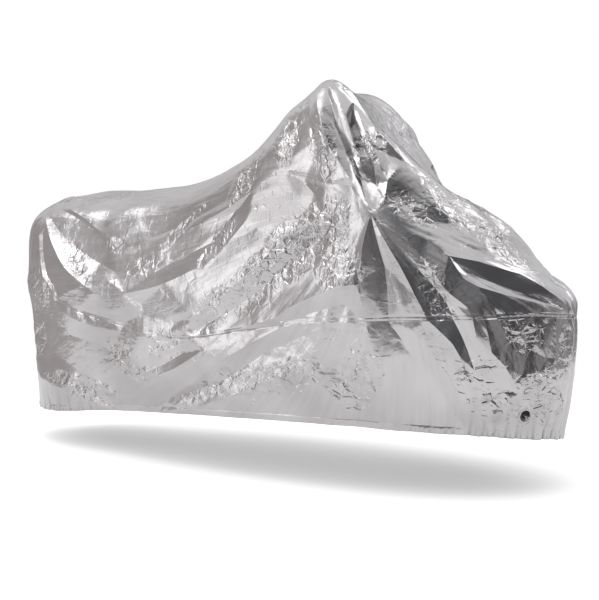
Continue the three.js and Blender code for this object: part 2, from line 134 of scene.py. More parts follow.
def form(along, up):
    """The bare form. At each place along, the section's nine points come from the cubic curves
    through the twelve sections, and a second cubic through the nine is read at up."""
    share = ((1 - np.cos(np.pi * along)) / 2)[:, None]
    t = smooth(STATION, TRACKS, TRACK_SLOPES, along)
    x = TAIL_X + (NOSE_X - TAIL_X) * share
    x = np.hstack([x, x[:, -2::-1]])
    y = np.hstack([-t[:, 0:8:2], 0 * share, t[:, 14:7:-2]])
    z = np.hstack([t[:, 1:8:2], t[:, 16:17], t[:, 15:8:-2]]) - SUPPORT_HEIGHT
    nine = np.stack([x, y, z], -1).transpose(1, 0, 2)
    flat = nine.reshape(9, -1)
    m = slopes_through(ROUND, flat).reshape(nine.shape)
    return smooth(ROUND, nine, m, up)


def place_on(along, up):
    """One place on the bare form."""
    return form(np.array([along]), np.array([up]))[0]


def unit(v):
    """The vector made one long."""
    return v / np.linalg.norm(v)


print("right side", place_on(0.7, 0.5).round(3), "top at half length", place_on(0.5, 1.0).round(3))

# %% [markdown]
# ## The crease net
# A film under tension folds along straight creases, and between creases it stays nearly flat. So
# the folds are drawn as a maker would draw them on the film with chalk: each line below is one
# crease, and each place on it has its along and up in per cent and its lift in mm above the bare
# form. Between the lines the film is stretched as flat triangles.

# %% Creases of the right side and the top
SIDE_POINT = (70, 50.5)          # along and up of the hard point that draws in the folds of its side
# one crease in a row: its name, then its places, each as along and up in per cent and lift in mm
CHALK = """
edges of the pattern
tail end: 0 0 0, 0 25 3, 0 50 0, 0 75 2, 0 100 0
nose end: 100 0 0, 100 25 0, 100 50 0, 100 75 0, 100 100 0
hem: 0 0 0, 12 0 2, 22 0 0, 33 0 -4, 41 0 -2, 50 0 0, 62 0 0, 71 0 3, 80 0 0, 88 0 0, 96 0 -3, 100 0 0
crown: 0 100 0, 12 100 2, 25 100 0, 40 100 -2, 50 100 0, 58 100 2, 63 100 2, 69 100 0, 75 100 1, \
    82 100 3, 90 100 0, 100 100 0
seam: 0 25 3, 13 26 6, 23 25 3, 29 26 2, 36 25 4, 40 25 8, 44 25 6, 51 25 4, 58 25 4, 62 25 6, 67 25 10, \
    69.4 25 2, 74 25 14, 77 25 -8, 79.5 25 10, 81 25 12, 83 25 -4, 88 25 -6, 93 25 8, 96 25 6, 100 25 0
tail side
tail edge high: 12 89 3, 19 82 1, 26 75 -3, 31 68 -3, 35 59 4
tail edge lip: 19 84 3, 24 79 4, 29 73 3, 33 66 3, 35 59 4
bright band low: 17 78 3, 20 71 12, 24 60 20, 27 51 24, 31 41 28, 33 37 28
bright band high: 17 78 3, 20 74 2, 26 63 -2, 29 59 -2, 33 53 0, 36 48 8
bright band end: 33 37 28, 35 44 20, 36 48 8
hanging curve: 33 37 28, 38 38 24, 44 41 20, 51 45 16, 55 53 10, 57 57 5
hollow to dimple: 36 48 8, 42 45 4
dimple left: 35 59 4, 39 54 2, 42 45 4
dimple right: 42 45 4, 45 48 -2, 50 50 -4, 53 57 -5
side edge: 35 59 4, 41 60 0, 47 62 -2, 53 63 -2, 57 64 0, 60 61 1
side lip: 39 58 5, 43 58 7, 49 58 8, 53 59 9, 56 61 5, 58 62 2
tail pleat back: 17.3 66 4, 22.4 27 2
tail pleat: 18.2 67 10, 23.2 26.5 8
tail pleat front: 19.2 66 6, 24.2 27 3
tail corner: 8 86 4, 9 70 6, 8 50 2, 10 34 5
tail hollow: 13 66 1, 14 50 -2, 18 36 0
middle
band edge: 60 46 4, 58 43 9, 54 38 12, 50 33 12, 47 30 10, 45 28 8
second hollow: 47 27 2, 52 31 -4, 56 35 -4, 60 40 -4, 63 44 -6
second curve: 54 26 8, 57 27 16, 59 29 22, 62 31 28, 65 33 32, 66.7 33.5 30
under second curve: 58 25.5 2, 62 27.5 6, 65 29 8
upper crinkle: 57 66 3, 60 61 -2, 62 57 -5, 63 54 -5
small star left: 63 54 -5, 61 53 0, 58 52 4
small star down: 63 54 -5, 62 50 1, 63 44 -6
small star right: 63 54 -5, 64 49 3, 65 46 -1, 67 45 8
bright level: 63 54 -5, 65 55 6, 68 55.5 14
white edge: 70 50.5 28, 68.6 46 20, 67 40 15, 65 33 24
dark wedge left: 70 50.5 28, 68.2 41 28, 67.2 34 24, 67 29 18, 67 25 10
dark wedge right: 70 50.5 28, 70.2 38 6, 69.4 25 2
front ray: 70 50.5 28, 72 39 20, 73 31 18, 74 25 14
dimple rays: 40 35 8, 40 31 4, 42 25 7
pocket: 43 26 6, 45 29.5 4, 46.3 29 9, 46.3 25.5 8
the peak
peak ridge: 64.6 80 6, 65 70 14, 66 62 19, 68 57 23, 69 54 26, 70 50.5 28
peak hollow: 65.4 79 -4, 66.8 67 -14, 68.3 62 -12, 69.1 58 -6, 70 50.5 28
slit left: 68.8 77 6, 68 70 9, 68.8 64.5 6
slit: 68.8 77 6, 69 70 -26, 69.5 65 -20
slit right: 68.8 77 6, 70.1 70 10, 70.4 64 7
slit foot: 68.8 64.5 6, 69.4 63 1, 70.4 64 7
ledge: 69 60 6, 71 61 4
peak front ridge: 69.3 79 8, 71 75 14, 75 71 18, 77 69 18, 78 64 18, 80 59 17
peak left strip: 63.6 80 2, 63.4 70 -4, 64.2 64 6
peak level crease: 60 63.5 1, 64.2 64 6, 66 62 19
peak far ridge: 67 82 4, 70 80 3, 73 77 6, 75 71 18
bright strip back: 71 68 3, 71 59 -1, 70 50.5 28
bright strip front: 73 70 3, 72.4 61 14, 71.8 56 16, 70 50.5 28
level crinkle: 71.8 56 16, 74 58 8, 78 64 18
shelf edge: 70 50.5 28, 76 54 13, 80 59 9, 84 65 4
nose side
shoulder white back: 77 69 18, 82 80 8, 84 72 3
shoulder white front: 80 59 17, 82 70 4, 84 65 4, 87 64 8, 92 66 4
shelf front: 87 64 8, 91 52 16, 92 46 18
nose triangle: 92 66 4, 96 60 3, 98 52 5, 92 46 18
nose small triangle: 92 46 18, 98 52 5, 94 42 13, 92 46 18
nose edge: 94 42 13, 95.5 29 15, 98 25 4
shelf low left: 70 50.5 28, 73 48.5 22, 76 48 18, 78 44 26
shelf low: 78 44 26, 82 44.5 26, 88 42 24, 92 34 18, 95.5 29 15
long hollow: 78 44 26, 80 40 6, 84 37.5 -4, 88 34 -4, 92 30.5 2, 95.5 29 15
long hollow low: 78 44 26, 79.3 37 12, 81 34.5 12, 84 32.5 10, 88 30 12, 95 27 12
white lens: 84 32.5 10, 88 26 14, 95 27 12
hood edge: 78 44 26, 77 38 18, 76.3 34.5 16, 77 32 13, 79 28 10, 79.5 25 10
hood hollow: 70.8 48.5 20, 73.5 40 2, 75.3 34 -6, 76.5 29 -8, 77 25 -8
hood side: 73 48.5 22, 75 42 10, 76.3 34.5 16
front of the skirt
soft hollow: 69.4 25 2, 72 17 0, 75 11 -5, 77 6 -6, 79 2 -2
soft ridge: 74 25 14, 74.5 17 9, 78 9 8, 81 4 4
dark pocket left: 74 25 14, 77 19 6, 78 16 3, 80 13 7
dark pocket: 77 25 -8, 78.5 19 -8, 80 13 7
pillar back: 79.5 25 10, 80 20 13, 80 13 7
pillar front: 81 25 12, 81.3 22 14, 82 17 14, 84 14 10
pillar foot: 80 13 7, 84 14 10
front hollow: 83 25 -4, 84.5 20 -8, 88 17 -12, 92 15 -8
front hollow low: 84 14 10, 87 12 4, 90 12.5 0, 92.5 14 5
front strip: 93 25 8, 93 15 9, 94 11 9, 96.5 6 7
small triangle: 80 13 7, 83 10 1, 81 8.5 5, 80 13 7
low ridge: 84 14 10, 85.5 11 9, 87 8 6, 88 3 0
low light face: 87 10 5, 89 12 9, 94 11 9
fold by eyelet: 89 12 9, 91 8 2, 93 4 3
middle and rear of the skirt
front skirt fold: 72 23 10, 76 14 8, 81 2 4
front skirt hollow: 70 22 3, 72.5 17 0
mid skirt fold: 55 23 5, 60 13 8, 64 5 4
mid skirt hollow: 60 22 0, 63.5 14 -3, 66 7 -1
thin crease: 67 25 10, 68 17 9, 68.3 8 6, 68 2 1
thin crease back: 66.2 20 5, 67 12 3
pleat low: 23 25 3, 27 22.3 6, 32 22 6, 36.5 23 5
rear patch: 36.5 23 5, 34 16 -2, 37 13 3, 42 12.5 9
rear patch right: 42 12.5 9, 44 15 10, 48 21 9, 51 25 4
rear patch hollow: 46.3 25.5 8, 45 20 -3, 42 15 2
skirt hollow: 41 1 -3, 43 5 -7, 50 11 -9, 55 18 -8, 62 25 6
skirt upper ridge: 46 10 5, 50 17 7, 54 21.5 7, 58 25 4
skirt low ridge: 47 3 3, 55 10 5, 60 16 5, 65 22 4
rear low fold: 8 9 3, 16 6 7, 24 4.5 7, 30 2 3
rear hollow: 10 16 -3, 18 13 -7, 27 9 -5, 32 7 -2
rear face: 16 21 -3, 26 17 -6, 32 17 -4
over the top
back plane: 24 92 3, 34 86 -2, 46 84 3, 54 78 -2, 60 72 3
back plane low: 40 74 2, 48 71 -2, 55 70 2
top line: 8 93 2, 16 94 -4, 24 92 3, 36 95 -4, 48 92 5, 58 92 -3, 62 92 3
top cross fold: 30 100 -3, 33 92 -5, 38 82 6, 46 84 3
top rear fold: 12 100 2, 15 90 6, 18 86 1
behind the peak: 58 84 -2, 61 78 4, 62 70 -3, 64 62 3
peak top: 62 92 3, 65 88 -5, 67 86 0, 69 92 -2
peak top ridge: 64.6 80 6, 66 84 3, 67 86 0, 69.3 79 8
peak top hollow: 67 86 0, 67.6 80 -4, 68.8 77 6
front slope: 74 90 -4, 77 84 4, 81 90 -3, 86 84 4, 91 88 -3, 95 80 3
"""
CREASES = {}
for row in CHALK.splitlines():
    if ": " in row:
        name, places = row.split(": ")
        CREASES[name] = [tuple(map(float, place.split())) for place in places.split(", ")]
print("creases drawn:", len(CREASES), "places:", sum(len(line) for line in CREASES.values()))


# %% The left side's creases
def left_place(a, u, lift):
    """A right place mirrored over the crown, shifted by slow waves, with its lift varied. The waves
    fade to nothing at the tail and nose ends, at the crown and at the hard point."""
    away = math.hypot(a - SIDE_POINT[0], (u - SIDE_POINT[1]) / 2)
    free = min(1, a / 12, (100 - a) / 12, (100 - u) / 12) * min(1, away / 15)
    level = 0 if u in (0, 25) else 1        # the hem and the seam keep their heights
    a2 = a + free * 1.8 * math.sin(u / 13 + 1)
    u2 = u - free * level * 2.2 * math.sin(a / 9 + 2)
    return a2, 200 - u2, lift * (1 + 0.3 * free * math.sin(a / 5 + u / 7))


RIGHT_CREASES = list(CREASES.values())
LEFT_CREASES = [[left_place(*p) for p in line] for name, line in CREASES.items() if name != "crown"]
ALL_CREASES = RIGHT_CREASES + LEFT_CREASES
print("creases on both sides:", len(ALL_CREASES))

# %% [markdown]
# The lines are joined to triangles by a constrained Delaunay triangulation: it keeps every drawn
# crease as an edge, and fills the rest with the least pointed triangles it can find.

# %% Triangles between the creases
from mathutils.geometry import delaunay_2d_cdt

PATTERN_WIDE, PATTERN_HIGH = 2.6, 1.1       # metres of film for along and up from 0 to 1
chalk, segments = [], []
for line in ALL_CREASES:
    first = len(chalk)
    chalk += [(a / 100 * PATTERN_WIDE, u / 100 * PATTERN_HIGH, lift / 1000) for a, u, lift in line]
    segments += [(first + i, first + i + 1) for i in range(len(line) - 1)]
chalk = np.array(chalk)
segments = np.array(segments)
net_places, _, net_faces, *_ = delaunay_2d_cdt(
    [tuple(p) for p in chalk[:, :2]], [tuple(map(int, s)) for s in segments], [], 0, 1e-5)
net_places = np.array([tuple(p) for p in net_places])
net_faces = np.array(net_faces)


def chalk_lift(places):
    """Lift at places on the drawn lines: the nearest segment's two lifts, joined linearly."""
    p, q = chalk[segments[:, 0]], chalk[segments[:, 1]]
    way = (q - p)[:, :2]
    gap = places[:, None, :] - p[None, :, :2]
    f = np.clip((gap * way).sum(-1) / (way**2).sum(-1), 0, 1)
    away = np.linalg.norm(gap - f[..., None] * way, axis=-1)
    k = np.arange(len(places))
    best = away.argmin(1)
    return p[best, 2] + f[k, best] * (q[best, 2] - p[best, 2])


net_lift = chalk_lift(net_places)
print("net places:", len(net_places), "flat triangles:", len(net_faces))


def fold_lift(along, up):
    """Lift of the crease net: inside each triangle the three corners' lifts, weighted by the
    place's barycentric coordinates."""
    place = np.column_stack([along * PATTERN_WIDE, up * PATTERN_HIGH])
    total = np.zeros(len(place))
    order = np.argsort(place[:, 0])
    sorted_x = place[order, 0]
    for a, b, c in net_faces:
        corner = net_places[[a, b, c]]
        first = np.searchsorted(sorted_x, corner[:, 0].min() - 1e-9)
        last = np.searchsorted(sorted_x, corner[:, 0].max() + 1e-9)
        near = order[first:last]
        p = place[near] - corner[0]
        e, f = corner[1] - corner[0], corner[2] - corner[0]
        area = e[0] * f[1] - e[1] * f[0]
        v = (p[:, 0] * f[1] - p[:, 1] * f[0]) / area
        w = (e[0] * p[:, 1] - e[1] * p[:, 0]) / area
        inside = (v > -1e-6) & (w > -1e-6) & (v + w < 1 + 1e-6)
        lifts = net_lift[[a, b, c]]
        total[near[inside]] = (lifts[0] + v * (lifts[1] - lifts[0]) + w * (lifts[2] - lifts[0]))[inside]
    return total


# %% [markdown]
# ## Crushed patches
# Crushed film is a net of small flat faces, which soft noise can't give. Random heights on a lattice
# of tetrahedra, joined by straight lines, do: every tetrahedron cuts the film in a flat three- or
# four-sided face. A finer net is added to the first, turned another way.

# %% Flat facets in space
def facets(points, seed):
    """Random heights from -1 to 1 at whole-number places, joined linearly inside the six
    tetrahedra of each unit cube: the cube's corner, then one step along each axis in the order
    of the point's largest to smallest remainder."""
    base = np.floor(points)
    f = points - base
    order = np.argsort(-f, axis=1)
    ordered = np.take_along_axis(f, order, 1)
    weight = np.column_stack([1 - ordered[:, 0], ordered[:, 0] - ordered[:, 1],
                              ordered[:, 1] - ordered[:, 2], ordered[:, 2]])
    corner = base.astype(np.int64)
    k = np.arange(len(points))
    total = np.zeros(len(points))
    for step in range(4):
        mixed = corner[:, 0] * 73856093 ^ corner[:, 1] * 19349663 ^ corner[:, 2] * 83492791
        mixed = (mixed + seed * 2654435761) & 0xFFFFFFFF
        mixed = ((mixed ^ (mixed >> 15)) * 2246822519) & 0xFFFFFFFF
        mixed = ((mixed ^ (mixed >> 13)) * 3266489917) & 0xFFFFFFFF
        total += weight[:, step] * (2 * ((mixed ^ (mixed >> 16)) & 0xFFFF) / 65535 - 1)
        if step < 3:
            corner = corner.copy()
            corner[k, order[:, step]] += 1
    return total


def turned(seed):
    """A rotation matrix from a seeded random square matrix."""
    q, _ = np.linalg.qr(np.random.default_rng(seed).normal(size=(3, 3)))
    return q


def crumple(points, size, seed):
    """Two nets of facets: size and size / 2.3 wide, with heights 1 and 0.24.
    The points are first shifted by a wide net, so that the faces differ in size."""
    shift = np.column_stack([facets(points @ turned(seed + 9) / (2.6 * size), seed + j) for j in range(3)])
    p = points + 0.55 * size * shift
    return (facets(p @ turned(seed) / size, seed + 3)
            + 0.24 * facets(p @ turned(seed + 1) / (size / 2.3), seed + 4))


# %% The pull of the side points
def pull_lines(along, up, points):
    """Where a place lies in the pull of its side's hard point: metres from it along the film, the
    angle of that line in radians, 0 straight down to pi straight up, and its own sideways metres,
    so that the left side doesn't repeat the right."""
    forth = (along - SIDE_POINT[0] / 100) * PATTERN_WIDE
    rise = (np.where(up > 1, 2 - up, up) - SIDE_POINT[1] / 100) * PATTERN_HIGH
    return np.column_stack([np.hypot(forth, rise), np.abs(np.arctan2(forth, -rise)), points[:, 1]])


# %% The crushed patches, as listed
# centre along and up in per cent | half length and half height in mm | degrees by which the long way
# leans up towards the nose | depth and facet size in mm
PATCHES = table("""
50 32 120 55 35 7 60
55 36 150 75 30 8 66
60 42 150 95 35 8 76
64 46 110 90 50 7.5 70
65 37 90 70 20 4 60
29 54 120 40 -50 3.5 40
35.5 60 60 30 -20 5 34
41 49 90 35 10 4.5 46
46 60 130 26 25 5 40
51 49 110 35 35 5 46
43 22 90 60 15 6 52
37 14 120 60 -25 4.5 60
28 5 230 45 -8 8 46
49 10 200 36 22 3 36
18 32 60 120 80 4 46
12 15 120 120 10 6.5 50
55 67 130 50 30 5 60
60.5 69 90 60 50 4.5 66
65 62 50 110 10 2 66
71 69 50 90 0 1.6 70
66 85 110 90 30 4 76
73 84 120 100 -30 3 80
75 57 100 45 -10 1.6 70
80 66 120 50 -20 2.6 66
88 62 120 60 -30 2.8 70
66 12 110 90 60 2 70
57 11 190 60 15 2.6 80
81 12 60 90 -60 2.5 70
84 6 130 55 -20 6 74
93 6 90 60 -20 5 66
96 18 40 110 0 3.5 60
75.5 33 110 45 -62 2.6 56
87 20 75 60 -20 4 56
90 11 90 45 20 5 60
22 98 330 150 0 4.5 90
47 100 260 160 0 6 90
70 100 150 260 0 3 90
85 95 150 150 0 4.5 65
""")
MIRRORED = 29                    # the first rows stand on the left side too
STRETCH = 2.0                    # a patch's facets are this much longer along the patch's long way
left_patches = PATCHES[:MIRRORED].copy()
left_patches[:, 1] = 200 - PATCHES[:MIRRORED, 1] + 3 * np.sin(PATCHES[:MIRRORED, 0] / 9 + 2)
left_patches[:, 0] += 2 * np.sin(PATCHES[:MIRRORED, 1] / 11 + 1)
PATCHES = np.vstack([PATCHES, left_patches])
print("crushed patches:", len(PATCHES))


def crush(points, pull):
    """Sum of the patches' crumples, each inside its own soft oval on the film, with wide, faint
    facets all over that run along the lines of pull. Also gives the crushed share of each point."""
    calm = np.minimum(1, pull[:, 0] / 0.45)
    total = calm * (0.0046 * crumple(pull * (0.36, 0.40, 0.30), 0.085, 700)
                    + 0.0016 * crumple(pull * (0.50, 0.40, 0.30), 0.036, 760))
    share = np.zeros(len(points))
    for i, (a, u, half_long, half_high, turn, depth, size) in enumerate(PATCHES):
        here, ahead = place_on(a / 100, u / 100), place_on(min(a + 1, 100) / 100, u / 100)
        above = place_on(a / 100, (u + (1 if u < 100 else -1)) / 100)
        forth = unit(ahead - here)
        rise = unit(above - here - ((above - here) @ forth) * forth)
        out = np.cross(forth, rise)
        lean = math.radians(turn)
        long_way = math.cos(lean) * forth + math.sin(lean) * rise
        high_way = math.cos(lean) * rise - math.sin(lean) * forth
        gap = (points - here) @ np.column_stack([long_way, high_way, out])
        oval = (gap[:, 0] / (half_long / 1000)) ** 2 + (gap[:, 1] / (half_high / 1000)) ** 2
        oval += (np.clip(np.abs(gap[:, 2]) - 0.10, 0, None) / 0.08) ** 2
        inside = np.nonzero(oval < 1)[0]
        soft = (1 - oval[inside]) ** 0.6
        local = gap[inside] / (STRETCH, 1, 1)
        total[inside] += depth / 1000 * soft * crumple(local, size / 1000, 40 + 7 * i)
        share[inside] = np.maximum(share[inside], soft)
    return total, share


def main_folds(along, up, points):
    """Lift of the crease net and the crumples, and each point's marks for the finish."""
    along, up = along.ravel(), np.clip(up, 0, 2).ravel()
    pull = pull_lines(along, up, points)
    crushed_lift, crushed = crush(points, pull)
    return fold_lift(along, up) + crushed_lift, {"crushed": crushed, "pull": pull}


# %% [markdown]
# ## The gathered hem
# At the front and the rear the hem is gathered: small ruffles at the edge run together into wider
# ones further up. They are waves of straight lines, because this film creases before it curves.

# %% Gathers
def zigzag(x):
    """A wave of straight lines between -1 and 1, one period in each unit of x."""
    return 4 * np.abs(x - np.floor(x + 0.5)) - 1


def gather_lift(run, along, height):
    """Ruffles 19, 41 and 97 mm wide along the hem, run being the way along it. Each fades with the
    height above the hem, the narrow ones first, and all fade towards the middle of the cover.
    Also gives how deep in a ruffle's valley each point lies, from 0 to 1."""
    rear = np.clip(1 - along / 0.36, 0, 1) ** 0.5
    front = np.clip((along - 0.70) / 0.30, 0, 1) ** 0.5
    pull = np.minimum(1, rear + front)
    wander = 0.35 * np.sin(run / 0.047) + 0.5 * np.sin(run / 0.131 + 1)
    small = zigzag(run / 0.019 + wander) * np.exp(-height / 0.020)
    middle = zigzag(run / 0.041 + wander) * np.exp(-height / 0.055)
    wide = 4.0 * zigzag(run / 0.097 + 0.5 * wander) * np.exp(-height / 0.120)
    # painted shade: valley says how deep in a ruffle's valley a point lies, and the film's colour is
    # darkened there
    valley = pull * np.clip(-0.8 * small - 0.5 * middle, 0, 1)
    return pull * (3.0 * small + 4.0 * middle + wide) / 1000, valley


# %% [markdown]
# ## The grid
# Both parts are bands round the cover: columns from the tail along the right side to the nose and
# back along the left side, and rows upwards. The upper shell's last row runs along the crown, where
# its right and left halves share their points.

# %% Rings of points with their normals
def spread(stops, counts):
    """Places from the first stop to the last with the given number of equal steps between stops."""
    parts = [np.linspace(a, b, n, endpoint=False) for a, b, n in zip(stops[:-1], stops[1:], counts)]
    return np.concatenate(parts + [[stops[-1]]])


def settle_on_creases(along, up, lines, low, high):
    """Moves the places of one side's grid that lie within half a cell of a crease onto it: up or
    down for a flat crease, forth or back for a steep one. Only rows between low and high move.
    Gives the places' new along and up, and which of them moved."""
    rows, columns = along.shape
    a, u = along.copy(), up.copy()
    half_a = 0.5 * np.gradient(along, axis=1)
    half_u = 0.5 * np.abs(np.gradient(up, axis=0))
    free = np.zeros(along.shape, bool)
    free[1:-1, 1:-1] = True
    free &= (np.minimum(up, 2 - up) > low) & (np.minimum(up, 2 - up) < high)
    moved = np.zeros(along.shape, bool)
    for line in lines:
        for (a0, u0, _), (a1, u1, _) in zip(line[:-1], line[1:]):
            start, way = np.array([a0, u0]) / 100, np.array([a1 - a0, u1 - u0]) / 100
            j = slice(*np.searchsorted(along[0], [min(a0, a1) / 100 - 0.01, max(a0, a1) / 100 + 0.01]))
            if j.start >= j.stop:
                continue
            da, du, ha, hu = along[:, j] - start[0], up[:, j] - start[1], half_a[:, j], half_u[:, j]
            flat = abs(way[0]) / half_a.mean() > abs(way[1]) / half_u.mean()
            share = da / way[0] if flat else du / way[1]
            off = du - share * way[1] if flat else da - share * way[0]
            near = (share >= 0) & (share <= 1) & free[:, j] & ~moved[:, j]
            near &= np.abs(off) < (hu if flat else ha)
            (u if flat else a)[:, j][near] -= off[near]
            moved[:, j] |= near
    return a, u, moved


def ring_grid(columns, rows, closed_top, low, high):
    """Points and outward normals for each row (up) and column round the cover, with the places
    settled on the creases. A normal is the cross product of the way round and the way up."""
    n = len(columns) - 1
    half = np.tile(columns, (len(rows), 1)), np.tile(rows[:, None], (1, n + 1))
    right_a, right_u, right_moved = settle_on_creases(*half, RIGHT_CREASES, low, high)
    left_a, left_u, left_moved = settle_on_creases(half[0], 2 - half[1], LEFT_CREASES, low, high)
    along = np.hstack([right_a, left_a[:, -2:0:-1]])
    up = np.hstack([right_u, left_u[:, -2:0:-1]])
    moved = np.hstack([right_moved, left_moved[:, -2:0:-1]])
    grid = form(along.ravel(), up.ravel()).reshape(len(rows), 2 * n, 3)
    round_way = np.roll(grid, -1, 1) - np.roll(grid, 1, 1)
    up_way = np.gradient(grid, axis=0)
    if closed_top:
        across = (2 * n - np.arange(2 * n)) % (2 * n)
        up_way[-1] = grid[-2, across] - grid[-2]
        round_way[-1, 0], round_way[-1, n] = (0, -1, 0), (0, 1, 0)
        up_way[-1, 0], up_way[-1, n] = (1, 0, 0.4), (-1, 0, 0.4)
    normal = np.cross(round_way, up_way)
    normal /= np.linalg.norm(normal, axis=-1, keepdims=True)
    print("places settled on creases:", int(moved.sum()), "of", moved.size)
    return along, up, grid, normal, moved


def band_faces(moved, lift, closed_top):
    """Triangles between neighbouring rows and columns. Each cell is cut along a crease where two
    of its opposite corners lie on one, or else where the film bends least. With a closed top, the
    last row's left half takes the right half's points."""
    rows, around = moved.shape
    index = np.arange(rows * around).reshape(rows, around)
    if closed_top:
        half = around // 2
        k = np.arange(half + 1, around)
        index[-1, k] = index[-1, around - k]
    nxt = np.roll(index, -1, 1)
    a, b, c, d = (v.ravel() for v in (index[:-1], nxt[:-1], nxt[1:], index[1:]))
    moved, lift = moved.ravel(), lift.ravel()
    on_ac, on_bd = moved[a] & moved[c], moved[b] & moved[d]
    bend = np.abs(lift[a] - lift[c]) < np.abs(lift[b] - lift[d])
    cut_ac = ((on_ac & ~on_bd) | (bend & (on_ac == on_bd)))[:, None]
    first = np.where(cut_ac, np.column_stack([a, b, c]), np.column_stack([a, b, d]))
    second = np.where(cut_ac, np.column_stack([a, c, d]), np.column_stack([b, c, d]))
    return np.vstack([first, second])


# %% [markdown]
# ## Seats of the eyelets
# An eyelet is clamped through the film near the front hem, so the film lies flat there. A boolean
# cut would leave ragged edges, so the film's own points are moved onto the seat and the hole's rim.

# %% Eyelet seats
EYELET_BORE, EYELET_RIM, EYELET_HOLE = 0.018, 0.023, 0.0194
FLAT_RADIUS, EASE_WIDTH = 0.040, 0.055
SEAT_PLACES = {"right_eyelet": (0.885, 0.042), "left_eyelet": (0.885, 1.958)}


def seat(along, up):
    """The seat's centre on the form, its outward direction, and two directions in its plane."""
    c = place_on(along, up)
    forth = unit(place_on(along + 0.02, up) - place_on(along - 0.02, up))
    rise = unit(place_on(along, up + (0.04 if up < 1 else -0.04)) - c)
    out = unit(np.cross(forth, rise))
    out *= np.sign(out[1]) * (-1 if up < 1 else 1)
    side = unit(np.cross(rise, out))
    return c, out, side, np.cross(out, side)


SEATS = {name: seat(*place) for name, place in SEAT_PLACES.items()}
for name, (c, out, _, _) in SEATS.items():
    print(name, "centre", c.round(4), "outward", out.round(4))


def flat_at_seats(points):
    """Within FLAT_RADIUS of a seat a point lies on the seat's plane, and over the next EASE_WIDTH
    it eases back to its own place."""
    for c, out, _, _ in SEATS.values():
        d = np.linalg.norm(points - c, axis=1)
        keep = np.clip((d - FLAT_RADIUS) / EASE_WIDTH, 0, 1)
        keep = keep * keep * (3 - 2 * keep)
        off = (points - c) @ out
        near = d < FLAT_RADIUS + EASE_WIDTH
        points[near] -= ((1 - keep) * off)[near, None] * out
    return points


# %% Make a mesh object from points and faces
def mesh_object(name, points, faces, **marks):
    """A mesh with smooth faces, sharp along creases over 14 degrees. Each mark is stored as a point
    attribute: a number, or a vector, for each point."""
    mesh = bpy.data.meshes.new(name)
    used, compact = np.unique(faces, return_inverse=True)
    points = points[used]
    corners = faces.shape[1]
    faces = compact.reshape(faces.shape)
    mesh.vertices.add(len(points))
    mesh.vertices.foreach_set("co", points.astype(np.float32).ravel())
    mesh.loops.add(faces.size)
    mesh.loops.foreach_set("vertex_index", faces.astype(np.int32).ravel())
    mesh.polygons.add(len(faces))
    mesh.polygons.foreach_set("loop_start", np.arange(0, faces.size, corners, dtype=np.int32))
    mesh.update(calc_edges=True)
    mesh.validate()
    mesh.polygons.foreach_set("use_smooth", np.ones(len(mesh.polygons), bool))
    mesh.set_sharp_from_angle(angle=math.radians(14))
    for label, values in marks.items():
        kind, field = ("FLOAT", "value") if values.ndim == 1 else ("FLOAT_VECTOR", "vector")
        mark = mesh.attributes.new(label, kind, "POINT")
        mark.data.foreach_set(field, values[used].astype(np.float32).ravel())
    piece = bpy.data.objects.new(name, mesh)
    bpy.context.scene.collection.objects.link(piece)
    area = sum(face.area for face in mesh.polygons)
    triangles = len(faces) * (corners - 2)
    print(name, "points", len(points), "triangles", triangles, "area", round(area, 3), "m2")
    return piece


# %% [markdown]
# ## The upper shell
# Its lower edge is folded under and laps over the skirt: the seam is a narrow raised band. It is
# part of the lift too, with small facets where the stitches draw the film in.

# %% Upper film
UPPER_COLUMNS = spread([0.0, 0.16, 0.36, 0.60, 1.0], [36, 44, 72, 168])
UPPER_ROWS = np.concatenate([0.25 + np.array([0, 0.0012, 0.003, 0.0052, 0.0072, 0.0085, 0.0105]),
                             spread([0.264, 0.78, 1.0], [104, 40])])


def seam_lift(height):
    """A band 8 mm wide along the seam that stands 0.3 mm proud, with a 0.5 mm groove above it."""
    band = 0.0003 * np.clip((0.009 - height) / 0.002, 0, 1)
    groove = -0.0005 * np.exp(-(((height - 0.0105) / 0.0018) ** 2))
    return band + groove


def pucker_lift(points, height):
    """Small facets where the stitches draw the film in, on both parts alike, up to 50 mm away."""
    return 0.0016 * crumple(points, 0.034, 910) * np.exp(-(height / 0.022) ** 2)


along, up, grid, normal, moved = ring_grid(UPPER_COLUMNS, UPPER_ROWS, True, 0.266, 0.995)
points, normals = grid.reshape(-1, 3), normal.reshape(-1, 3)
height = np.linalg.norm(grid - grid[:1], axis=-1).ravel()
lift, marks = main_folds(along, up, points)
lift = lift + seam_lift(height) + pucker_lift(points, height)
shell_points = points + normals * lift[:, None]
upper_film = mesh_object("upper_film_cloth", shell_points, band_faces(moved, lift, True),
                         valley=np.zeros(len(points)), **marks)

# %% [markdown]
# ## The skirt
# The skirt's top edge runs a little way up behind the shell's. At the bottom the film is folded in
# and joined to itself 22 mm up, which leaves a soft tube with a sunk line above it. Both are part of
# the lift, because a separate tube would break the ruffles that run through it.

# %% Lower skirt
HEM_DEPTH = 0.022
SKIRT_COLUMNS = spread([0.0, 0.36, 0.70, 1.0], [170, 110, 230])
MM = 0.25 / 325                  # one millimetre of the skirt's height, as a step of up
hem_inside = np.arange(HEM_DEPTH * 1000, 0, -3.0) * MM
outer = spread([0.0, 30 * MM, 0.25], [14, 66])
tucked = 0.25 + np.array([2, 6, 10]) * MM
skirt_rows = np.concatenate([hem_inside, outer, tucked])
inset = np.concatenate([np.full(len(hem_inside), 0.0024), np.zeros(len(outer)), np.full(3, 0.0022)])
inset[len(hem_inside)] = 0.0010
inset[-4] = 0.0012


